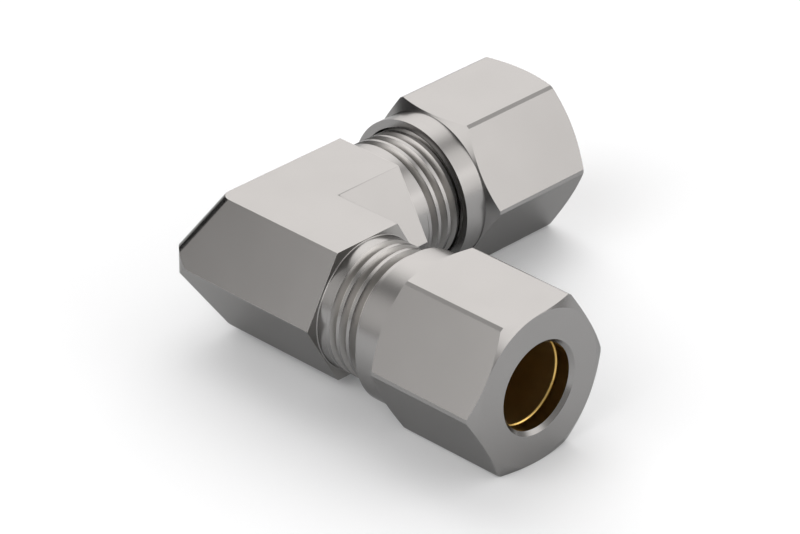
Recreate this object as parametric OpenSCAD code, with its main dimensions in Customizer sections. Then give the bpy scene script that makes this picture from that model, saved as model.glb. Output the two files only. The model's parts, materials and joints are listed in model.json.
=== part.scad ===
// Ninety degree compression elbow for metal tube.
// One forged and machined body carries a threaded arm at each end. A union nut on each arm
// presses a brass olive into the cone at the arm's mouth, and the olive grips the tube.
// Both tube axes cross above the origin, which lies on the body's lower flat.
// The front arm points along +X and the rear arm along +Y.

/* [Tube and its socket] */
// Outside diameter of the tube that the fitting takes
tube_diameter = 10; // [8:0.5:12]
// Radial clearance between the tube and the socket in the body
socket_clearance = 0.05; // [0.02:0.01:0.09]
// Length of tube that the socket takes, counted from the arm's end
socket_depth = 11; // [8:0.5:14]
// Diameter of the passage behind the tube's stop shoulder
flow_diameter = 8; // [5:0.5:8.4]

/* [Elbow body] */
// Metal that the hexagon stands proud of the thread's crest, at a flat
body_flat_margin = 0.2; // [0.1:0.05:1.5]
// Distance from the crossing of the axes to the end of each hexagonal arm
arm_reach = 13.75; // [12.5:0.25:17]
// Length of the plain neck between the hexagon and the thread
neck_length = 1.9; // [1:0.1:3]
// Radius of the fillet between the neck and the end of the hexagon
neck_fillet = 0.15; // [0.05:0.05:0.15]
// Radius of the upright rounding at the outer corner of the elbow
corner_radius = 4.3; // [3:0.1:5]
// Radius of the rounding along the two slanted mitre edges
mitre_radius = 1; // [0.5:0.1:1.6]

/* [Thread of each arm] */
// Metal between the tube socket and the root of the thread
arm_wall = 2.05; // [1.6:0.05:2.6]
// Height of the thread from root to crest
thread_depth = 0.7; // [0.5:0.05:0.85]
// Distance from one thread crest to the next
thread_pitch = 1.5; // [1:0.25:2]
// Width of the flat along the thread's crest
crest_flat = 0.45; // [0.1:0.05:0.5]
// Width of the flat at the thread's root
root_flat = 0.2; // [0.1:0.05:0.3]
// Length of the threaded part of each arm
thread_length = 16.3; // [12:0.1:20]
// Length of the chamfer at the end of the thread
thread_lead = 1; // [0.5:0.1:1.5]

/* [Sealing cone in the arm] */
// Half angle of the cone that takes the olive
seat_angle = 12; // [10:1:14]
// Depth of the cone, from the arm's end
seat_depth = 3.4; // [2.5:0.1:4.5]

/* [Olive] */
// Radial clearance between the tube and the olive
olive_clearance = 0.03; // [0.02:0.01:0.08]
// Thickness of the olive at its belt
olive_wall = 1.22; // [1:0.02:1.4]
// Length of the long cone that enters the arm
olive_tail = 4.4; // [3.5:0.1:5]
// Length of the cylindrical belt
olive_belt = 1.45; // [0.8:0.05:2.5]
// Thickness of the olive at its nose
nose_wall = 0.2; // [0.14:0.02:0.4]
// Size of the chamfer inside the nose
nose_chamfer = 0.1; // [0.04:0.02:0.12]
// Radial clearance between the olive's tail and the cone in the arm, hand-tight
seat_clearance = 0.08; // [0.05:0.01:0.2]
// Radial clearance between the olive's nose and the nut's cone, hand-tight
nose_clearance = 0.15; // [0.08:0.01:0.3]

/* [Union nut] */
// Overall length of the nut
nut_length = 18.5; // [17:0.1:21]
// Radial clearance between the tube and the hole in the nut's face
hole_clearance = 0.1; // [0.06:0.02:0.4]
// Size of the chamfer round the hole in the nut's face
hole_chamfer = 0.45; // [0.1:0.05:0.7]
// Length of the hole, from the nut's face to the inner cone
hole_length = 1.95; // [1.2:0.05:2.5]
// Half angle of the nut's inner cone, which is the olive's nose angle too
nose_angle = 45; // [35:1:50]
// Radial clearance between the olive's belt and the nut
belt_clearance = 0.35; // [0.2:0.05:0.6]
// Axial clearance between the end of the arm and the nut's inner step
step_clearance = 1; // [0.5:0.1:1.5]
// Radial clearance between the thread's crest and the nut's bore
bore_clearance = 0.3; // [0.3:0.05:0.5]
// Metal between the nut's bore and its flats
flat_wall = 1.05; // [0.7:0.05:3]
// Metal between the nut's bore and the outside of its collar
collar_wall = 0.85; // [0.7:0.05:2]
// Length of the round collar at the nut's mouth
collar_length = 3; // [2:0.1:5]
// Angle of the cone from the collar up to the hexagon's corners, from the collar's end plane
collar_angle = 30; // [25:1:45]
// How far the nut's round face lies inside its flats
face_inset = 0.06; // [0.02:0.01:0.6]
// Angle of the chamfer at the nut's face, from the face
face_angle = 28; // [15:1:40]
// Width of the flat along each upright edge of the nut's hexagon
edge_flat = 0.5; // [0.2:0.05:1]

/* [View] */
// Which piece is drawn

/* [Hidden] */
$fn = 64;
nickel = [0.75, 0.73, 0.7];
brass = [0.8, 0.62, 0.3];
// A little more than any contact plane, so that cuts pass right through
overcut = 1;
// Share of a radius by which a rounding's arc crosses the faces that it joins
arc_crossing = 0.008;

// Radii, from the tube outwards
tube_radius = tube_diameter / 2;
flow_radius = flow_diameter / 2;
socket_radius = tube_radius + socket_clearance;
root_radius = socket_radius + arm_wall;
crest_radius = root_radius + thread_depth;
fillet_radius = crest_radius + neck_fillet;
body_apothem = crest_radius + body_flat_margin;
body_corner = body_apothem / cos(30);
bore_radius = crest_radius + bore_clearance;
collar_radius = bore_radius + collar_wall;
nut_apothem = bore_radius + flat_wall;
nut_corner = nut_apothem / cos(30);
olive_bore = tube_radius + olive_clearance;
olive_radius = olive_bore + olive_wall;
nose_radius = olive_bore + nose_wall;
hole_radius = tube_radius + hole_clearance;
recess_radius = olive_radius + belt_clearance;
face_radius = nut_apothem - face_inset;

// Places along an arm, counted from the crossing of the axes
thread_start = arm_reach + neck_length;
arm_end = thread_start + thread_length;
seat_start = arm_end - seat_depth;
socket_end = arm_end - socket_depth;
seat_slope = tan(seat_angle);
nose_slope = tan(nose_angle);
belt_start = seat_start + (olive_radius + seat_clearance - socket_radius) / seat_slope;
olive_start = belt_start - olive_tail;
belt_end = belt_start + olive_belt;
olive_end = belt_end + (olive_radius - nose_radius) / nose_slope;
hole_start = olive_end + (nose_radius + nose_clearance - hole_radius) / nose_slope;
nut_end = hole_start + hole_length;
nut_start = nut_end - nut_length;
collar_end = nut_start + collar_length;
recess_start = arm_end + step_clearance;

// Place the pieces of an arm on the front arm, from the nut's own upright axis
module on_front_arm() {
    translate([0, 0, body_apothem])
        rotate([0, 90, 0])
            children();
}

// The rear arm is the front arm seen in the mitre plane
module on_rear_arm() {
    mirror([1, -1, 0])
        on_front_arm()
            children();
}

// One groove of the thread, from crest to crest, as radii and places from its start
flank = (thread_pitch - crest_flat - root_flat) / 2;
groove = [
    [crest_radius, 0],
    [root_radius, flank],
    [root_radius, flank + root_flat],
    [crest_radius, 2 * flank + root_flat]
];

// The outline of all the grooves, as far as the lead chamfer
groove_count = floor((thread_length - thread_lead) / thread_pitch);
thread_outline = [for (i = [0 : groove_count - 1])
    for (point = groove)
        [point[0], thread_start + i * thread_pitch + point[1]]];

// Outline of one arm's round part: fillet, neck, thread and lead chamfer
module threaded_arm() {
    rotate_extrude()
        difference() {
            polygon(concat(
                [[0, 0], [crest_radius, 0], [crest_radius, arm_reach]],
                [[fillet_radius, arm_reach], [fillet_radius, arm_reach + neck_fillet]],
                [[crest_radius, arm_reach + neck_fillet]],
                thread_outline,
                [[root_radius, arm_end - thread_lead / 2], [root_radius - thread_lead / 2, arm_end]],
                [[0, arm_end]]
            ));
            translate([fillet_radius, arm_reach + neck_fillet])
                circle(r = neck_fillet);
        }
}

// The bores of one arm: passage from beyond the crossing, tube socket and sealing cone
module arm_bores() {
    translate([0, 0, -body_corner])
        cylinder(r = flow_radius, h = body_corner + socket_end + overcut);
    translate([0, 0, socket_end])
        cylinder(r = socket_radius, h = socket_depth + overcut);
    translate([0, 0, seat_start])
        cylinder(
            r1 = socket_radius,
            r2 = socket_radius + (seat_depth + overcut) * seat_slope,
            h = seat_depth + overcut
        );
}

// One half of the body, as far as the mitre plane: a hexagonal bar with two flats level
module body_half() {
    intersection() {
        on_front_arm()
            difference() {
                union() {
                    translate([0, 0, -2 * body_corner])
                        linear_extrude(height = 2 * body_corner + arm_reach)
                            rotate(30)
                                circle(r = body_corner, $fn = 6);
                    threaded_arm();
                }
                arm_bores();
            }
        rotate([0, 0, 45])
            translate([-2 * body_corner, -3 * arm_end, -overcut])
                cube([2 * arm_end + 2 * body_corner, 3 * arm_end, 2 * body_apothem + 2 * overcut]);
    }
}

// Everything outside the upright rounding of the outer corner
module corner_cut() {
    reach = body_corner - corner_radius * (1 - arc_crossing);
    far = body_corner + overcut;
    translate([0, 0, -overcut])
        linear_extrude(height = 2 * body_apothem + 2 * overcut)
            difference() {
                polygon([[-far, -far], [-reach, -far], [-reach, -reach], [-far, -reach]]);
                translate([-reach, -reach])
                    circle(r = corner_radius);
            }
}

// Everything outside the rounding of the upper mitre edge, which climbs over the corner.
// The edge's rise and its half angle are those of two hexagons that meet at ninety degrees.
module mitre_cut() {
    edge_rise = atan(cos(30) * sqrt(2));
    half_corner = atan(sqrt(5 / 3));
    centre = mitre_radius * (1 - arc_crossing) / sin(half_corner);
    foot = mitre_radius * (1 - arc_crossing) / tan(half_corner);
    outside = mitre_radius * arc_crossing / 2;
    foot_x = foot * cos(half_corner) - outside * sin(half_corner);
    foot_y = foot * sin(half_corner) + outside * cos(half_corner);
    translate([0, 0, body_apothem])
        rotate([0, 0, 45])
            translate([-body_corner * sqrt(2), 0, 0])
                rotate([0, 90 - edge_rise, 0])
                    linear_extrude(height = 2 * body_corner)
                        difference() {
                            polygon([
                                [-overcut, -foot_y - overcut],
                                [foot_x, -foot_y],
                                [foot_x, foot_y],
                                [-overcut, foot_y + overcut]
                            ]);
                            translate([centre, 0])
                                circle(r = mitre_radius);
                        }
}

// The elbow's body, in one piece
module elbow_body() {
    color(nickel)
        difference() {
            union() {
                body_half();
                mirror([1, -1, 0])
                    body_half();
            }
            corner_cut();
            mitre_cut();
            translate([0, 0, 2 * body_apothem])
                mirror([0, 0, 1])
                    mitre_cut();
        }
}

// The union nut, with its mouth down and its axis upright
module union_nut() {
    corner_rise = (nut_corner - collar_radius) * tan(collar_angle);
    face_drop = (nut_corner - face_radius) * tan(face_angle);
    edge_apothem = nut_corner - edge_flat / 2 * tan(30);
    difference() {
        union() {
            translate([0, 0, nut_start])
                cylinder(r = collar_radius, h = collar_length);
            intersection() {
                translate([0, 0, collar_end])
                    linear_extrude(height = nut_end - collar_end)
                        intersection() {
                            rotate(30)
                                circle(r = nut_corner, $fn = 6);
                            circle(r = edge_apothem / cos(30), $fn = 6);
                        }
                rotate_extrude()
                    polygon([
                        [0, collar_end - overcut],
                        [collar_radius, collar_end - overcut],
                        [collar_radius, collar_end],
                        [nut_corner, collar_end + corner_rise],
                        [nut_corner, nut_end - face_drop],
                        [face_radius, nut_end],
                        [0, nut_end]
                    ]);
            }
        }
        nut_bores();
    }
}

// The nut's inside: bore, step, recess, cone and hole
module nut_bores() {
    cone_length = (recess_radius - hole_radius) / nose_slope;
    rotate_extrude()
        polygon([
            [0, nut_start - overcut],
            [bore_radius, nut_start - overcut],
            [bore_radius, recess_start],
            [recess_radius, recess_start],
            [recess_radius, hole_start - cone_length],
            [hole_radius, hole_start],
            [hole_radius, nut_end - hole_chamfer],
            [hole_radius + hole_chamfer + overcut, nut_end + overcut],
            [0, nut_end + overcut]
        ]);
}

// The brass olive, on its upright axis
module olive() {
    rotate_extrude()
        polygon([
            [olive_bore, olive_start],
            [olive_radius - olive_tail * seat_slope, olive_start],
            [olive_radius, belt_start],
            [olive_radius, belt_end],
            [nose_radius, olive_end],
            [olive_bore + nose_chamfer, olive_end],
            [olive_bore, olive_end - nose_chamfer]
        ]);
}

module front_nut() {
    color(nickel)
        on_front_arm()
            union_nut();
}

module rear_nut() {
    color(nickel)
        on_rear_arm()
            union_nut();
}

module front_olive() {
    color(brass)
        on_front_arm()
            olive();
}

module rear_olive() {
    color(brass)
        on_rear_arm()
            olive();
}

elbow_body();
front_nut();
rear_nut();
front_olive();
rear_olive();
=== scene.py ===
# %% [markdown]
# # A ninety degree compression elbow
# The fitting joins two 10 mm tubes at a right angle. Its body is a forging that is milled to a
# hexagon, mitred at the corner and turned and threaded at both ends. A union nut on each arm
# presses a brass olive onto the tube. Everything but the olives has a satin nickel plate.
# The CAD part is loaded first, and its outer sizes are read from it.

# %% Load the CAD part
import json
import math

import bmesh
import bpy
from mathutils import Matrix, Vector


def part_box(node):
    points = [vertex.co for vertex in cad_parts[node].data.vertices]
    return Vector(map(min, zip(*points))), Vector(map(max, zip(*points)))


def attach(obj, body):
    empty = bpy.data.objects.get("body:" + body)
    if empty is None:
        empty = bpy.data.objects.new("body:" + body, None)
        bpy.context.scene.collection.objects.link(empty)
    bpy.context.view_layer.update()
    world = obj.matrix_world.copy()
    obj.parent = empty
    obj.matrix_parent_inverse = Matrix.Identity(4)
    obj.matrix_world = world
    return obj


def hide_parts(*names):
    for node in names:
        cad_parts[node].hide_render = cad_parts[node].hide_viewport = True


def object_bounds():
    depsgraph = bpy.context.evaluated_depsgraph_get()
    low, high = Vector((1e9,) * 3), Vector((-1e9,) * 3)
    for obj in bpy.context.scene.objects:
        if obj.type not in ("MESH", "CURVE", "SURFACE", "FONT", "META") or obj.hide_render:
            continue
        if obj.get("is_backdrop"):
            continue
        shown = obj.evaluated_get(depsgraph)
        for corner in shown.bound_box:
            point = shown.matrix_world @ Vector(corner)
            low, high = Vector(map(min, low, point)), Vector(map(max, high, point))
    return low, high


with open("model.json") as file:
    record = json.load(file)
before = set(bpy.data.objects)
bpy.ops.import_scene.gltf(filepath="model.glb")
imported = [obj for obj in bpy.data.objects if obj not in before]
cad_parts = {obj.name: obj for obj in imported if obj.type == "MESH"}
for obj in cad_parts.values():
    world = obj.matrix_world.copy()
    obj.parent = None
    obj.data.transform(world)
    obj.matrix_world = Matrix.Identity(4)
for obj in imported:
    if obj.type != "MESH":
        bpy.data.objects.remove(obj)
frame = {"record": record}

cad_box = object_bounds()
MM = 0.001
print("CAD box in mm:", [[round(value / MM, 2) for value in corner] for corner in cad_box])

# %% [markdown]
# ## Sizes
# A turned part is a list of radii and of places along its axis. The outer ones are measured on
# the CAD nodes, so that they stay right if the part changes. The sizes that no box shows are
# written in millimetres, as on a workshop drawing.

# %% Sizes read from the frame
body_low, body_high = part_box("elbow_body")
nut_low, nut_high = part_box("front_nut")
olive_low, olive_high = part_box("front_olive")
mounts = {mount["name"]: mount for mount in frame["record"]["mounts"]}

axis_height = (body_low.z + body_high.z) / 2
body_apothem = (body_high.z - body_low.z) / 2
body_corner = body_apothem / math.cos(math.radians(30))
arm_end = body_high.x
socket_radius = mounts["front_tube_socket"]["dims"]["r_mm"] * MM
nut_start, nut_end = nut_low.x, nut_high.x
nut_apothem = (nut_high.z - nut_low.z) / 2
olive_start, olive_end = olive_low.x, olive_high.x
olive_radius = (olive_high.z - olive_low.z) / 2
print(f"Across the flats: body {2 * body_apothem / MM:.1f} mm, nut {2 * nut_apothem / MM:.1f} mm")

# %% Sizes that no box shows
arm_reach = 13.75 * MM
rear_reach = arm_reach + 0.33 * MM
corner_radius = 4.8 * MM
mitre_radius = 1.7 * MM
edge_break = 0.15 * MM
crest_radius = 7.8 * MM
root_radius = 7.1 * MM
neck_radius = crest_radius + 0.01 * MM
neck_fillet = 0.15 * MM
thread_pitch = 1.5 * MM
crest_flat = 0.45 * MM
root_flat = 0.2 * MM
lead_length = 1.0 * MM
flow_radius = 4.0 * MM
socket_depth = 11.0 * MM
seat_depth = 3.4 * MM
seat_slope = math.tan(math.radians(12))
overcut = 1.0 * MM
print(f"The front bar ends at {arm_reach / MM:.2f} mm, the rear one at {rear_reach / MM:.2f} mm")

# %% [markdown]
# ## A few workshop habits
# An operator acts on whatever is selected, so every step starts from a clean selection. Faces
# and edges are then picked in code, by where they are or which way they face, as one would pick
# them by eye. A modifier is only a plan until it is applied, so each one is applied at once.

# %% Helpers for selecting
def put_down():
    """Leaves edit mode and lets go of everything."""
    if bpy.context.object and bpy.context.object.mode == "EDIT":
        bpy.ops.object.mode_set(mode="OBJECT")
    bpy.ops.object.select_all(action="DESELECT")


def take(piece):
    """Makes a piece the only selected one."""
    put_down()
    piece.select_set(True)
    bpy.context.view_layer.objects.active = piece


def pick_edges(test):
    """Selects the edges of the piece in edit mode that pass a test, and counts them."""
    bpy.ops.mesh.select_mode(type="EDGE")
    bpy.ops.mesh.select_all(action="DESELECT")
    mesh = bmesh.from_edit_mesh(bpy.context.object.data)
    picked = [edge for edge in mesh.edges if test(edge)]
    for edge in picked:
        edge.select = True
    mesh.select_flush_mode()
    bmesh.update_edit_mesh(bpy.context.object.data)
    return len(picked)


# %% Helpers for shaping
def freeze(piece):
    """Puts a piece's place and turn into its mesh, so that its object sits at the origin."""
    take(piece)
    bpy.ops.object.transform_apply(location=True, rotation=True, scale=True)


def cut(piece, tool, operation="DIFFERENCE"):
    """Joins, cuts or trims a piece with another one, which is then deleted."""
    take(piece)
    plan = piece.modifiers.new(operation.lower(), "BOOLEAN")
    plan.operation = operation
    plan.solver = "EXACT"
    plan.object = tool
    bpy.ops.object.modifier_apply(modifier=plan.name)
    bpy.data.objects.remove(tool)


def break_edges(piece, width, steps, least_turn):
    """Takes the sharpness off the edges that turn by more than an angle in degrees."""
    take(piece)
    plan = piece.modifiers.new("edge break", "BEVEL")
    plan.width = width
    plan.segments = steps
    plan.limit_method = "ANGLE"
    plan.angle_limit = math.radians(least_turn)
    bpy.ops.object.modifier_apply(modifier=plan.name)


def turn_to_rear_arm(piece):
    """Turns a piece from the front arm to the rear one, a quarter turn about the upright axis."""
    piece.rotation_euler = (0, 0, math.radians(90))
    freeze(piece)


# %% [markdown]
# ## Turned shapes
# On a lathe, a shape is an outline that goes round the axis. Here the outline is drawn as one
# point that is extruded from place to place above the X axis. It is then spun about that axis
# and lifted to the height of the tubes. An outline that starts and ends on the axis makes a
# solid; a closed one a ring.

# %% Draw an outline and spin it
ROUND_STEPS = 192
WELD = 0.001 * MM


def draw_outline(name, points):
    """Draws an outline of (place along the axis, radius) points above the X axis."""
    put_down()
    bpy.ops.mesh.primitive_plane_add(size=MM, location=(points[0][0], 0, points[0][1]))
    piece = bpy.context.object
    piece.name = name
    freeze(piece)
    bpy.ops.object.mode_set(mode="EDIT")
    bpy.ops.mesh.select_mode(type="VERT")
    bpy.ops.mesh.select_all(action="SELECT")
    bpy.ops.mesh.merge(type="CENTER")
    for (x, r), (next_x, next_r) in zip(points, points[1:]):
        step = (next_x - x, 0, next_r - r)
        bpy.ops.mesh.extrude_vertices_move(TRANSFORM_OT_translate={"value": step})
    return piece


def lift_to_axis(piece):
    """Lifts a piece that was made about the X axis to the height of the tube axes."""
    put_down()
    piece.location = (0, 0, axis_height)
    freeze(piece)


def turned(name, points):
    """A turned piece on the front arm, from its outline."""
    piece = draw_outline(name, points)
    bpy.ops.mesh.select_all(action="SELECT")
    bpy.ops.mesh.spin(
        steps=ROUND_STEPS,
        angle=2 * math.pi,
        use_auto_merge=True,
        center=(0, 0, 0),
        axis=(1, 0, 0),
    )
    bpy.ops.mesh.select_all(action="SELECT")
    bpy.ops.mesh.remove_doubles(threshold=WELD)
    bpy.ops.mesh.normals_make_consistent(inside=False)
    lift_to_axis(piece)
    return piece


def hexagon_bar(name, apothem, start, end):
    """A hexagonal bar on the front arm, with two of its flats level."""
    put_down()
    bpy.ops.mesh.primitive_cylinder_add(
        vertices=6,
        radius=apothem / math.cos(math.radians(30)),
        depth=end - start,
        location=((start + end) / 2, 0, axis_height),
        rotation=(0, math.radians(90), 0),
    )
    piece = bpy.context.object
    piece.name = name
    freeze(piece)
    return piece


# %% [markdown]
# ## The screw thread
# A real thread is one ridge that winds round the arm, so its crests climb along the arm as they
# go round. Rings would look almost the same from one side, but would not screw. The outline of
# one pitch is drawn and wound with the Screw modifier, in which one turn ends just where the
# outline of the next begins. The ragged ends are then cut square and closed. The groove has
# straight flanks at about 60 degrees to each other, between flat crests and a narrow flat root.

# %% Wind a thread
THREAD_STEPS = 120


def thread_outline(groove_at, root, crest):
    """One pitch of the thread, from the start of a groove to the start of the next."""
    flank = (thread_pitch - crest_flat - root_flat) / 2
    return [
        (groove_at, crest),
        (groove_at + flank, root),
        (groove_at + flank + root_flat, root),
        (groove_at + 2 * flank + root_flat, crest),
        (groove_at + thread_pitch, crest),
    ]


def cut_square(piece, place, keep_above):
    """Cuts a piece square across the front arm and closes the cut."""
    take(piece)
    bpy.ops.object.mode_set(mode="EDIT")
    bpy.ops.mesh.select_all(action="SELECT")
    bpy.ops.mesh.bisect(
        plane_co=(place, 0, 0),
        plane_no=(1, 0, 0),
        use_fill=True,
        clear_inner=keep_above,
        clear_outer=not keep_above,
        threshold=WELD / 10,
    )
    put_down()


def threaded_bar(name, start, end, groove_at, root, crest):
    """A right-hand threaded bar on the front arm. A groove starts at groove_at on top of the bar."""
    pitches_back = math.ceil((groove_at - start) / thread_pitch) + 1
    piece = draw_outline(name, thread_outline(groove_at - pitches_back * thread_pitch, root, crest))
    take(piece)
    plan = piece.modifiers.new("thread", "SCREW")
    plan.axis = "X"
    plan.angle = 2 * math.pi
    plan.screw_offset = thread_pitch
    plan.iterations = math.ceil((end - start) / thread_pitch) + 4
    plan.steps = THREAD_STEPS
    plan.render_steps = THREAD_STEPS
    bpy.ops.object.modifier_apply(modifier=plan.name)
    bpy.ops.object.mode_set(mode="EDIT")
    bpy.ops.mesh.select_all(action="SELECT")
    bpy.ops.mesh.remove_doubles(threshold=WELD)
    cut_square(piece, start, keep_above=True)
    cut_square(piece, end, keep_above=False)
    take(piece)
    bpy.ops.object.mode_set(mode="EDIT")
    bpy.ops.mesh.select_all(action="SELECT")
    bpy.ops.mesh.normals_make_consistent(inside=False)
    lift_to_axis(piece)
    return piece


# %% [markdown]
# ## The body's hexagon
# The body looks like two hexagonal bars that meet in a mitre. Only half of it is modelled: one
# bar, turned so that the mitre plane stands on the Y axis, where the Mirror modifier cuts it and
# makes the other half. The two outer mitre edges are then rounded, as the forging's are. The
# flats beside them face 30 degrees up or down, which gives the angle that the edge turns by.

# %% Make the mitred hexagon
MITRE_STEPS = 6

body = hexagon_bar("dressed_body", body_apothem, -2 * body_corner, arm_reach)
body.rotation_euler = (0, 0, math.radians(45))
freeze(body)
plan = body.modifiers.new("mitre", "MIRROR")
plan.use_axis[0] = True
plan.use_bisect_axis[0] = True
plan.merge_threshold = WELD
plan.bisect_threshold = WELD / 10
bpy.ops.object.modifier_apply(modifier=plan.name)
body.rotation_euler = (0, 0, math.radians(-45))
freeze(body)
bpy.ops.object.mode_set(mode="EDIT")
bpy.ops.mesh.select_all(action="SELECT")
bpy.ops.mesh.dissolve_limited(angle_limit=math.radians(1))


def is_outer_mitre(edge):
    """True for an edge in the mitre plane on the outside of the elbow."""
    return all(abs(corner.co.x - corner.co.y) < WELD and corner.co.x < 0 for corner in edge.verts)


mitre_turn = math.acos(math.sin(math.radians(30)) ** 2)
found = pick_edges(is_outer_mitre)
bpy.ops.mesh.bevel(
    offset_type="OFFSET",
    offset=mitre_radius * math.tan(mitre_turn / 2),
    segments=MITRE_STEPS,
    affect="EDGES",
    clamp_overlap=False,
)
put_down()
print(f"Rounded {found} mitre edges, which turn by {math.degrees(mitre_turn):.1f} degrees")

# %% [markdown]
# On the photographed elbow the rear bar is a third of a millimetre longer than the front one, so
# the mirrored bar's end is drawn out by that much.

# %% Draw out the rear bar's end
def is_at_rear_end(edge):
    """True for an edge of the face that ends the rear bar."""
    return all(corner.co.y > arm_reach - WELD for corner in edge.verts)


take(body)
bpy.ops.object.mode_set(mode="EDIT")
found = pick_edges(is_at_rear_end)
bpy.ops.transform.translate(value=(0, rear_reach - arm_reach, 0))
put_down()
print(f"Drew out {found} edges to {rear_reach / MM:.2f} mm")

# %% [markdown]
# The edges that the milling cutter leaves are broken a little. The ends of the two bars stay
# sharp, because they are turned afterwards. Last comes the big upright rounding of the outer
# corner. Its cutter is a block with a round hollow, made from a cube and a cylinder. The hollow
# crosses the bars' edges by a hair, because surfaces that only touch can't be cut cleanly.

# %% Break the milled edges
milled_turn = math.radians(32)


def is_milled_edge(edge):
    """True for a sharp edge that isn't at the end of a bar."""
    at_front_end = all(corner.co.x > arm_reach - WELD for corner in edge.verts)
    at_rear_end = all(corner.co.y > rear_reach - WELD for corner in edge.verts)
    return not (at_front_end or at_rear_end) and edge.calc_face_angle(0) > milled_turn


take(body)
bpy.ops.object.mode_set(mode="EDIT")
found = pick_edges(is_milled_edge)
bpy.ops.mesh.bevel(offset_type="OFFSET", offset=edge_break, segments=2, affect="EDGES")
put_down()
print(f"Broke {found} edges")

# %% Round the outer corner
hair_crossed = 0.008 * corner_radius
hollow_centre = -(body_corner - corner_radius + hair_crossed)
cutter_size = body_corner + overcut + hollow_centre
cutter_height = 4 * body_apothem
put_down()
bpy.ops.mesh.primitive_cube_add(
    size=1,
    location=(hollow_centre - cutter_size / 2, hollow_centre - cutter_size / 2, axis_height),
)
cutter = bpy.context.object
cutter.scale = (cutter_size, cutter_size, cutter_height)
freeze(cutter)
put_down()
bpy.ops.mesh.primitive_cylinder_add(
    vertices=ROUND_STEPS,
    radius=corner_radius,
    depth=cutter_height + 2 * overcut,
    location=(hollow_centre, hollow_centre, axis_height),
)
hollow = bpy.context.object
freeze(hollow)
cut(cutter, hollow)
cut(body, cutter)
print("The body's hexagon has", len(body.data.polygons), "faces")

# %% [markdown]
# ## The threaded arms
# Each arm is turned in one go with the body: a plain neck with a small fillet, the thread, and
# a chamfer that leads the nut on. The neck is as thick as the thread's crests and ends in a
# short cone, over which the first groove runs out on the side that faces away. Narrow rings of
# faces at both ends of the neck hold its shading straight. The two threads start at different
# places, as they do on a real fitting.

# %% Turn and thread the arms
FILLET_STEPS = 8
front_groove = 15.235 * MM
rear_groove = 15.90 * MM
neck_to_groove = 0.17 * MM
runout_length = 0.55 * MM
holding_ring = 0.03 * MM
lead_lift = 0.02 * MM


def neck(reach, end):
    """The plain neck with its fillet, from inside the hexagon to the end of the run-out."""
    points = [(0, 0), (0, neck_radius + neck_fillet)]
    for step in range(FILLET_STEPS + 1):
        turn = math.radians(90) * step / FILLET_STEPS
        x = reach + neck_fillet * (1 - math.cos(turn))
        r = neck_radius + neck_fillet * (1 - math.sin(turn))
        points.append((x, r))
    for x in (reach + neck_fillet + holding_ring, end - holding_ring, end):
        points.append((x, neck_radius))
    points += [(end + runout_length, root_radius - WELD), (end + runout_length, 0)]
    return turned("neck", points)


def lead_cutter():
    """What is turned away outside the chamfer at the arm's end."""
    far = crest_radius + overcut
    return turned("lead cutter", [
        (arm_end - lead_length, far),
        (arm_end - lead_length, crest_radius + lead_lift),
        (arm_end + overcut, crest_radius - lead_length - overcut),
        (arm_end + overcut, far),
        (arm_end - lead_length, far),
    ])


def threaded_arm(reach, groove_at):
    """A neck and its thread on the front arm, from a bar that ends at the given reach."""
    arm = threaded_bar("arm", reach, arm_end, groove_at, root_radius, crest_radius)
    cut(arm, lead_cutter())
    cut(arm, neck(reach, groove_at - neck_to_groove), "UNION")
    return arm


cut(body, threaded_arm(arm_reach, front_groove), "UNION")
rear_arm = threaded_arm(rear_reach, rear_groove)
turn_to_rear_arm(rear_arm)
cut(body, rear_arm, "UNION")
print("The body with its arms has", len(body.data.polygons), "faces")

# %% [markdown]
# ## The bores
# The passage runs through from one arm to the other. The tube stops on a shoulder, and the cone
# at the arm's end takes the olive. Each arm's bores are one turned tool.

# %% Bore the arms
def arm_bores():
    """The passage, the tube socket and the cone of the front arm, as one tool."""
    far = arm_end + overcut
    return turned("bores", [
        (-flow_radius, 0),
        (-flow_radius, flow_radius),
        (arm_end - socket_depth, flow_radius),
        (arm_end - socket_depth, socket_radius),
        (arm_end - seat_depth, socket_radius),
        (far, socket_radius + (seat_depth + overcut) * seat_slope),
        (far, 0),
    ])


cut(body, arm_bores())
rear_bores = arm_bores()
turn_to_rear_arm(rear_bores)
cut(body, rear_bores)
print("The bored body has", len(body.data.polygons), "faces")

# %% [markdown]
# ## The union nut
# The nut is made from hexagonal bar. A narrow flat is milled along each of its six edges. The
# bar is then turned between centres: its mouth end becomes a round collar, just inside the
# flats, with a cone up to the edges, and the edges are chamfered round the face. Both turned
# forms are one outline, and the nut is what the bar and the turned form have in common.

# %% Make the outside of the nut
nut_corner = nut_apothem / math.cos(math.radians(30))
edge_flat = 0.5 * MM
edge_flat_cut = edge_flat / math.sqrt(3)
collar_radius = 8.95 * MM
collar_length = 3.0 * MM
collar_end = nut_start + collar_length
collar_slope = math.tan(math.radians(30))
face_slope = math.tan(math.radians(28))
face_radius = nut_apothem - 0.06 * MM


def is_long_edge(edge):
    """True for an edge that runs along the front arm."""
    return abs(edge.verts[0].co.x - edge.verts[1].co.x) > MM


def nut_bar():
    """The hexagonal bar of the nut, with its six narrow flats."""
    bar = hexagon_bar("nut", nut_apothem, nut_start - overcut, nut_end + overcut)
    take(bar)
    bpy.ops.object.mode_set(mode="EDIT")
    pick_edges(is_long_edge)
    bpy.ops.mesh.bevel(offset_type="OFFSET", offset=edge_flat_cut, segments=1, affect="EDGES")
    put_down()
    return bar


def nut_outside():
    """The nut before it is bored."""
    bar = nut_bar()
    form = turned("form", [
        (nut_start, 0),
        (nut_start, collar_radius),
        (collar_end, collar_radius),
        (collar_end + (nut_corner - collar_radius) * collar_slope, nut_corner),
        (nut_end - (nut_corner - face_radius) * face_slope, nut_corner),
        (nut_end, face_radius),
        (nut_end, 0),
    ])
    cut(bar, form, "INTERSECT")
    return bar


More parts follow.
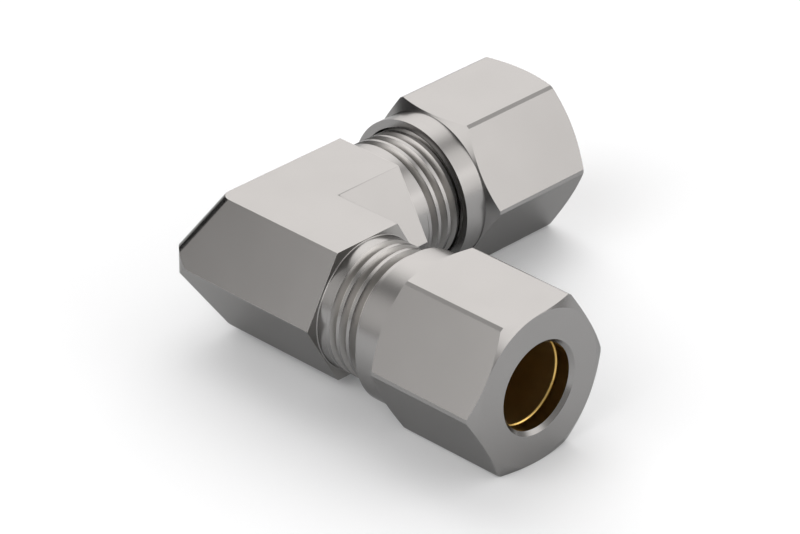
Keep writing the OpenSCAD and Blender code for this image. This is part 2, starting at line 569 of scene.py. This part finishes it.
# %% [markdown]
# ## The inside of the nut
# From its mouth inwards the nut has a plain counterbore, the thread, a recess for the olive, the
# cone that presses on the olive's nose, and the hole that the tube passes through. The thread is
# cut with the same winding as the arm's, a little larger all round, so the two stay in mesh as
# the nut travels one pitch for each turn.

# %% Make the boring tools
mouth_radius = 8.0 * MM
mouth_depth = 2.0 * MM
thread_room = 0.06 * MM
minor_radius = root_radius + thread_room
recess_start = arm_end + 1.0 * MM
tap_stop = recess_start - 0.05 * MM
recess_radius = 6.6 * MM
hole_radius = 5.1 * MM
hole_start = nut_end - 1.95 * MM
hole_chamfer = 0.45 * MM


def nut_bore():
    """The counterbore, the recess, the cone and the hole, as one turned tool."""
    cone_length = recess_radius - hole_radius
    return turned("nut bore", [
        (nut_start - overcut, 0),
        (nut_start - overcut, mouth_radius),
        (nut_start + mouth_depth, mouth_radius),
        (nut_start + mouth_depth + mouth_radius - minor_radius, minor_radius),
        (recess_start, minor_radius),
        (recess_start, recess_radius),
        (hole_start - cone_length, recess_radius),
        (hole_start, hole_radius),
        (nut_end - hole_chamfer, hole_radius),
        (nut_end + overcut, hole_radius + hole_chamfer + overcut),
        (nut_end + overcut, 0),
    ])


def nut_tap(groove_at):
    """The tap that cuts the nut's thread."""
    start = nut_start + mouth_depth / 2
    return threaded_bar("tap", start, tap_stop, groove_at, minor_radius, crest_radius + thread_room)


def union_nut(name, groove_at):
    """A finished nut on the front arm, in mesh with a thread that has a groove at groove_at."""
    nut = nut_outside()
    cut(nut, nut_bore())
    cut(nut, nut_tap(groove_at))
    nut.name = name
    return nut


front_nut = union_nut("dressed_front_nut", front_groove)
rear_nut = union_nut("dressed_rear_nut", rear_groove)
turn_to_rear_arm(rear_nut)
print("A nut has", len(front_nut.data.polygons), "faces")

# %% [markdown]
# ## The olive
# The olive is a brass ring with a long cone towards the arm, a short belt and a steep nose. Only
# the end of its nose shows, as a golden ring deep in the nut, so its edges are well rounded.

# %% Turn the olives
olive_bore = 5.03 * MM
olive_tail = 4.4 * MM
olive_belt = 1.45 * MM
nose_wall = 0.3 * MM
nose_round = 0.16 * MM
olive_edge_break = nose_round / 3


def olive(name):
    """An olive on the front arm."""
    belt_start = olive_start + olive_tail
    ring = turned(name, [
        (olive_start, olive_bore),
        (olive_start, olive_radius - olive_tail * seat_slope),
        (belt_start, olive_radius),
        (belt_start + olive_belt, olive_radius),
        (olive_end, olive_bore + nose_wall),
        (olive_end, olive_bore + nose_round),
        (olive_end - nose_round, olive_bore),
        (olive_start, olive_bore),
    ])
    break_edges(ring, olive_edge_break, steps=3, least_turn=20)
    return ring


front_olive = olive("dressed_front_olive")
rear_olive = olive("dressed_rear_olive")
turn_to_rear_arm(rear_olive)
print("An olive has", len(front_olive.data.polygons), "faces")

# %% [markdown]
# ## Smooth and sharp
# The turned surfaces are many narrow facets. They are shaded smooth, and every edge that turns
# by more than a few degrees stays crisp. The Weighted Normal modifier then lets the largest face
# at each corner set the shading there, so that the flats look flat right up to their edges.

# %% Shade the pieces
crisp_turn = math.radians(22)
pieces = [body, front_nut, rear_nut, front_olive, rear_olive]
for piece in pieces:
    take(piece)
    bpy.ops.object.shade_smooth_by_angle(angle=crisp_turn)
    plan = piece.modifiers.new("flat flats", "WEIGHTED_NORMAL")
    plan.weight = 100
    plan.keep_sharp = True
    bpy.ops.object.modifier_apply(modifier=plan.name)
    triangles = sum(len(face.vertices) - 2 for face in piece.data.polygons)
    print(f"{piece.name}: {triangles} triangles")

# %% [markdown]
# ## Satin nickel plate
# Nickel plate is a warm grey metal. Its satin comes from a matt base under the plate: a very
# fine grain, which varies the gloss and scatters the reflections. A faint cloudiness varies the
# colour. The plate hardly reaches into the bores, so there the brass shows, painted darker as
# shade. In the recesses, such as the thread's grooves, the plate is more matt, and it is painted
# paler as light that lifts the shade there. Both are mixed in with masks that are 1 within a few
# cylinders about the arms' axes.

# %% Colours of the finishes
nickel_dark = (0.262, 0.258, 0.254, 1)
nickel_light = (0.286, 0.281, 0.277, 1)
# The next two are painted light: a paler plate that lifts the shade in the thread's grooves, on the bars' end
# rings and in the nuts' mouths.
recess_plate_painted_light = (0.36, 0.352, 0.342, 1)
mouth_plate_painted_light = (0.60, 0.59, 0.57, 1)
brass_dark = (0.66, 0.45, 0.14, 1)
brass_light = (0.73, 0.51, 0.17, 1)
# The next two are bare brass, painted darker as shade deep in the bores.
bore_brass_painted_shade_dark = (0.50, 0.36, 0.15, 1)
bore_brass_painted_shade_light = (0.56, 0.41, 0.18, 1)
nickel_edge_tint = (0.6, 0.6, 0.6, 1)
print("Nickel runs from", nickel_dark[:3], "to", nickel_light[:3])

# %% Helpers for patterns
def add_node(nodes, kind, **settings):
    """Adds a node and sets its properties."""
    node = nodes.new(kind)
    for name, value in settings.items():
        setattr(node, name, value)
    return node


def noise(nodes, links, coordinates, scale, detail):
    """A noise pattern of a given number of cells to the metre."""
    pattern = add_node(nodes, "ShaderNodeTexNoise")
    pattern.inputs["Scale"].default_value = scale
    pattern.inputs["Detail"].default_value = detail
    links.new(coordinates, pattern.inputs["Vector"])
    return pattern.outputs["Fac"]


def ramp(nodes, links, factor, low, high):
    """Turns a pattern from 0 to 1 into values from low to high."""
    node = add_node(nodes, "ShaderNodeMapRange")
    node.inputs["To Min"].default_value = low
    node.inputs["To Max"].default_value = high
    links.new(factor, node.inputs["Value"])
    return node.outputs["Result"]


def calculate(nodes, links, operation, first, second):
    """Works out a value from two others, each of them an output or a number."""
    node = add_node(nodes, "ShaderNodeMath", operation=operation)
    for value, socket in zip((first, second), node.inputs):
        if isinstance(value, float):
            socket.default_value = value
        else:
            links.new(value, socket)
    return node.outputs["Value"]


def mix_colours(nodes, links, factor, first, second):
    """A colour between two others, each of them an output or a fixed colour."""
    tint = add_node(nodes, "ShaderNodeMix", data_type="RGBA")
    links.new(factor, tint.inputs["Factor"])
    for colour, name in ((first, "A"), (second, "B")):
        if isinstance(colour, tuple):
            tint.inputs[name].default_value = colour
        else:
            links.new(colour, tint.inputs[name])
    return tint.outputs["Result"]


# %% Masks of bores and recesses
def within_cylinder(nodes, links, place, cylinder):
    """1 inside a cylinder about an arm's axis, and 0 outside it."""
    centred = add_node(nodes, "ShaderNodeVectorMath", operation="SUBTRACT")
    centred.inputs[1].default_value = (0, 0, axis_height)
    links.new(place, centred.inputs[0])
    parts = add_node(nodes, "ShaderNodeSeparateXYZ")
    links.new(centred.outputs["Vector"], parts.inputs["Vector"])
    along, across = ("X", "Y") if cylinder["arm"] == "front" else ("Y", "X")
    flat = add_node(nodes, "ShaderNodeCombineXYZ")
    links.new(parts.outputs[across], flat.inputs["X"])
    links.new(parts.outputs["Z"], flat.inputs["Y"])
    distance = add_node(nodes, "ShaderNodeVectorMath", operation="LENGTH")
    links.new(flat.outputs["Vector"], distance.inputs[0])
    near = calculate(nodes, links, "LESS_THAN", distance.outputs["Value"], cylinder["radius"])
    past_start = calculate(nodes, links, "GREATER_THAN", parts.outputs[along], cylinder["start"])
    before_end = calculate(nodes, links, "LESS_THAN", parts.outputs[along], cylinder["end"])
    between = calculate(nodes, links, "MULTIPLY", past_start, before_end)
    return calculate(nodes, links, "MULTIPLY", near, between)


def within_any(nodes, links, place, cylinders):
    """1 inside any of several cylinders about the arms' axes."""
    inside = within_cylinder(nodes, links, place, cylinders[0])
    for cylinder in cylinders[1:]:
        also_inside = within_cylinder(nodes, links, place, cylinder)
        inside = calculate(nodes, links, "MAXIMUM", inside, also_inside)
    return inside


# %% Nickel and brass
nickel_cloud_cells = 160
nickel_grain_cells = 7000
nickel_roughness = (0.20, 0.27)
grain_strength = 0.06
grain_height = 0.01 * MM
body_bore_matt = 0.2
nut_bore_matt = 0.02
recess_matt = 0.10
brass_cloud_cells = 400
brass_roughness = (0.25, 0.31)
olive_bore_matt = 0.12


def satin_nickel(name, bores, bore_matt, recesses, painted_light_in_recesses):
    """Satin nickel plate, with bare brass painted darker as shade in the bores, and in the recesses a more
    matt plate painted paler as light.
    """
    material = bpy.data.materials.new(name)
    material.use_nodes = True
    nodes, links = material.node_tree.nodes, material.node_tree.links
    shader = nodes["Principled BSDF"]
    shader.inputs["Metallic"].default_value = 1.0
    shader.inputs["Specular Tint"].default_value = nickel_edge_tint
    place = add_node(nodes, "ShaderNodeTexCoord").outputs["Object"]
    clouds = noise(nodes, links, place, nickel_cloud_cells, detail=3)
    grain = noise(nodes, links, place, nickel_grain_cells, detail=2)
    bare = within_any(nodes, links, place, bores)
    recessed = within_any(nodes, links, place, recesses)
    plate = mix_colours(nodes, links, clouds, nickel_dark, nickel_light)
    # In the recesses the plate is painted paler, as painted light that lifts the shade there.
    plate = mix_colours(nodes, links, recessed, plate, painted_light_in_recesses)
    # The bare brass in the bores is painted darker, as painted shade.
    brass = mix_colours(nodes, links, clouds, bore_brass_painted_shade_dark, bore_brass_painted_shade_light)
    links.new(mix_colours(nodes, links, bare, plate, brass), shader.inputs["Base Color"])
    gloss = ramp(nodes, links, grain, *nickel_roughness)
    gloss = calculate(nodes, links, "ADD", gloss, calculate(nodes, links, "MULTIPLY", bare, bore_matt))
    gloss = calculate(nodes, links, "ADD", gloss, calculate(nodes, links, "MULTIPLY", recessed, recess_matt))
    links.new(gloss, shader.inputs["Roughness"])
    bump = add_node(nodes, "ShaderNodeBump")
    bump.inputs["Strength"].default_value = grain_strength
    bump.inputs["Distance"].default_value = grain_height
    links.new(grain, bump.inputs["Height"])
    links.new(bump.outputs["Normal"], shader.inputs["Normal"])
    return material


def turned_brass(name, bores):
    """The brass of an olive, with its bore painted darker as shade."""
    material = bpy.data.materials.new(name)
    material.use_nodes = True
    nodes, links = material.node_tree.nodes, material.node_tree.links
    shader = nodes["Principled BSDF"]
    shader.inputs["Metallic"].default_value = 1.0
    place = add_node(nodes, "ShaderNodeTexCoord").outputs["Object"]
    clouds = noise(nodes, links, place, brass_cloud_cells, detail=3)
    bored = within_any(nodes, links, place, bores)
    bright = mix_colours(nodes, links, clouds, brass_dark, brass_light)
    # The bore is painted darker, as painted shade deep in the olive.
    brass_in_painted_shade = mix_colours(nodes, links, clouds, bore_brass_painted_shade_dark, bore_brass_painted_shade_light)
    links.new(mix_colours(nodes, links, bored, bright, brass_in_painted_shade), shader.inputs["Base Color"])
    gloss = ramp(nodes, links, clouds, *brass_roughness)
    gloss = calculate(nodes, links, "ADD", gloss, calculate(nodes, links, "MULTIPLY", bored, olive_bore_matt))
    links.new(gloss, shader.inputs["Roughness"])
    return material


# %% Where the bores and recesses are
def along_arm(arm, radius, start, end):
    """A cylinder about an arm's axis."""
    return {"arm": arm, "radius": radius, "start": start, "end": end}


hair = 0.02 * MM
body_bores, body_recesses = [], []
nut_bores, nut_recesses, olive_bores = {}, {}, {}
for arm, reach in (("front", arm_reach), ("rear", rear_reach)):
    seat_mouth = socket_radius + seat_depth * seat_slope
    body_bores.append(along_arm(arm, seat_mouth + hair, -flow_radius - MM, arm_end + MM))
    body_recesses.append(along_arm(arm, crest_radius - 2 * hair, reach, arm_end - lead_length))
    # The plate in these two cylinders, over the thread and on the end ring of the bar, is painted paler as
    # painted light.
    body_recesses.append(along_arm(arm, 2 * body_corner, reach - hair, reach + hair))
    thread_end = nut_end - hole_chamfer
    nut_bores[arm] = along_arm(arm, crest_radius + 2 * thread_room, nut_start + mouth_depth, thread_end)
    # In the nut's mouth the plate is painted paler, as painted light.
    nut_recesses[arm] = along_arm(arm, mouth_radius + hair, nut_start + hair, nut_start + mouth_depth)
    olive_bores[arm] = along_arm(arm, olive_bore + hair, olive_start - MM, olive_end + MM)

# %% Give each piece its finish
body_finish = satin_nickel("nickel on the body", body_bores, body_bore_matt, body_recesses, recess_plate_painted_light)
finishes = [(body, body_finish)]
for nut, arm in ((front_nut, "front"), (rear_nut, "rear")):
    bores, recesses = [nut_bores[arm]], [nut_recesses[arm]]
    nut_finish = satin_nickel(f"nickel on the {arm} nut", bores, nut_bore_matt, recesses, mouth_plate_painted_light)
    finishes.append((nut, nut_finish))
for ring, arm in ((front_olive, "front"), (rear_olive, "rear")):
    finishes.append((ring, turned_brass(f"brass of the {arm} olive", [olive_bores[arm]])))
for piece, material in finishes:
    piece.data.materials.clear()
    piece.data.materials.append(material)
    print(f"{piece.name} is finished with {material.name}")

# %% [markdown]
# ## Hand the pieces to the frame
# Each new piece takes the place of its CAD node and moves with that node's body.

# %% Replace the CAD nodes
roles = [
    (body, "elbow_body", "elbow", "nickel"),
    (front_nut, "front_nut", "front_union", "nickel"),
    (rear_nut, "rear_nut", "rear_union", "nickel"),
    (front_olive, "front_olive", "front_ring", "brass"),
    (rear_olive, "rear_olive", "rear_ring", "brass"),
]
for piece, node, rides_on, finish in roles:
    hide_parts(node)
    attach(piece, rides_on)

# %% [markdown]
# ## The studio
# The fitting lies on a plain white floor. The floor is a pale matt surface, which the camera and
# every reflection see lit up to white, so that it still takes the fitting's shadow.

# %% Floor
floor_size = 4.0
floor_colour = (0.82, 0.84, 0.86, 1)
floor_roughness = 0.9
floor_glow = 0.06


def studio_floor():
    """A wide white floor just under the fitting."""
    put_down()
    bpy.ops.mesh.primitive_plane_add(size=floor_size, location=(0, 0, cad_box[0].z))
    floor = bpy.context.object
    floor.name = "floor"
    material = bpy.data.materials.new("white floor")
    material.use_nodes = True
    nodes, links = material.node_tree.nodes, material.node_tree.links
    shader = nodes["Principled BSDF"]
    shader.inputs["Base Color"].default_value = floor_colour
    shader.inputs["Roughness"].default_value = floor_roughness
    path = add_node(nodes, "ShaderNodeLightPath").outputs
    seen = calculate(nodes, links, "MAXIMUM", path["Is Camera Ray"], path["Is Glossy Ray"])
    seen = calculate(nodes, links, "MAXIMUM", seen, path["Is Transmission Ray"])
    glow = calculate(nodes, links, "MULTIPLY", seen, floor_glow)
    shader.inputs["Emission Color"].default_value = (1, 1, 1, 1)
    links.new(glow, shader.inputs["Emission Strength"])
    floor.data.materials.append(material)
    floor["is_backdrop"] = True


studio_floor()
print(f"The floor lies at {cad_box[0].z / MM:.2f} mm")

# %% [markdown]
# ## The light
# Metal shows its surroundings, so the light is mostly what the fitting sees: a dim room with
# four soft windows. The widest is straight behind and lights everything that faces up. Two at
# the right, one a little behind and one a little in front, light the slanted flats and the cones
# on that side. The fourth, in front at the left, fades slowly, which makes the front slants grow
# lighter towards the nut. A black screen at the left gives the rounded mitre edge its dark line,
# as black card does. Each is a round patch of the world with a soft edge. Its level adds to the
# room's.

# %% World
room_level = 0.44
light_colour = (1, 0.975, 0.955, 1)
dimmest_level = 0.02
windows = [
    {"name": "back", "azimuth": 136, "elevation": 34, "full_to": 16, "gone_at": 51, "level": 2.06},
    {"name": "far right", "azimuth": 57, "elevation": 33, "full_to": 3, "gone_at": 25, "level": 1.61},
    {"name": "near right", "azimuth": 24, "elevation": 15, "full_to": 14, "gone_at": 26, "level": 2.05},
    {"name": "near left", "azimuth": -101, "elevation": 32, "full_to": 7, "gone_at": 42, "level": 2.03},
    {"name": "screen", "azimuth": 199, "elevation": 12, "full_to": 28, "gone_at": 31, "level": -1.60},
]


def towards(azimuth, elevation):
    """The direction of an azimuth, counted from +X towards +Y, and an elevation, in degrees."""
    turn, rise = math.radians(azimuth), math.radians(elevation)
    return Vector((math.cos(turn) * math.cos(rise), math.sin(turn) * math.cos(rise), math.sin(rise)))


def soft_window(nodes, links, place, window):
    """The brightness that one window adds, by direction."""
    closeness = add_node(nodes, "ShaderNodeVectorMath", operation="DOT_PRODUCT")
    closeness.inputs[1].default_value = towards(window["azimuth"], window["elevation"])
    links.new(place, closeness.inputs[0])
    edge = add_node(nodes, "ShaderNodeMapRange", interpolation_type="SMOOTHSTEP")
    edge.inputs["From Min"].default_value = math.cos(math.radians(window["gone_at"]))
    edge.inputs["From Max"].default_value = math.cos(math.radians(window["full_to"]))
    edge.inputs["To Max"].default_value = window["level"]
    links.new(closeness.outputs["Value"], edge.inputs["Value"])
    return edge.outputs["Result"]


def studio_world():
    """A plain room with soft windows."""
    world = bpy.data.worlds.new("studio")
    bpy.context.scene.world = world
    world.use_nodes = True
    nodes, links = world.node_tree.nodes, world.node_tree.links
    background = nodes["Background"]
    background.inputs["Color"].default_value = light_colour
    place = add_node(nodes, "ShaderNodeTexCoord").outputs["Generated"]
    level = room_level
    for window in windows:
        level = calculate(nodes, links, "ADD", level, soft_window(nodes, links, place, window))
        print(f"Light from the {window['name']}: {window['level']} over {window['gone_at']} degrees")
    level = calculate(nodes, links, "MAXIMUM", level, dimmest_level)
    links.new(level, background.inputs["Strength"])


studio_world()

# %% [markdown]
# ## The camera
# The view is a long lens from 30 degrees above. Both arms point to the right, the front one
# towards the viewer and the rear one away, and the fitting is a little left of the middle of
# the picture.

# %% Camera
camera_azimuth = math.radians(44.254)
camera_elevation = math.radians(29.882)
camera_roll = math.radians(0.239)
camera_distance = 500.7 * MM
aim_right = -13.354 * MM
aim_up = 0.991 * MM
lens_mm = 203.27

back = Vector((
    math.sin(camera_azimuth) * math.cos(camera_elevation),
    -math.cos(camera_azimuth) * math.cos(camera_elevation),
    math.sin(camera_elevation),
))
sideways = Vector((math.cos(camera_azimuth), math.sin(camera_azimuth), 0))
upright = back.cross(sideways)
right = sideways * math.cos(camera_roll) + upright * math.sin(camera_roll)
up = upright * math.cos(camera_roll) - sideways * math.sin(camera_roll)
crossing_point = Vector((0, 0, axis_height))
camera_place = crossing_point + back * camera_distance - right * aim_right - up * aim_up
lens = bpy.data.cameras.new("camera")
lens.lens = lens_mm
lens.clip_start = 0.01
lens.clip_end = 10
camera = bpy.data.objects.new("camera", lens)
bpy.context.scene.collection.objects.link(camera)
camera_turn = Matrix((right, up, back)).transposed().to_4x4()
camera.matrix_world = Matrix.Translation(camera_place) @ camera_turn
bpy.context.scene.camera = camera
bpy.context.scene.view_settings.view_transform = "Standard"
print(f"The camera is {camera_distance / MM:.0f} mm away, with a {lens_mm:.0f} mm lens")

# %% [markdown]
# ## The sizes at the end
# The boxes of the CAD part and of the finished pieces are printed side by side.

# %% Print the sizes
sizes = {
    "cad": [list(corner) for corner in cad_box],
    "visual": [list(corner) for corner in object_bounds()],
}
for label, corners in sizes.items():
    print(label, [[round(value / MM, 2) for value in corner] for corner in corners])
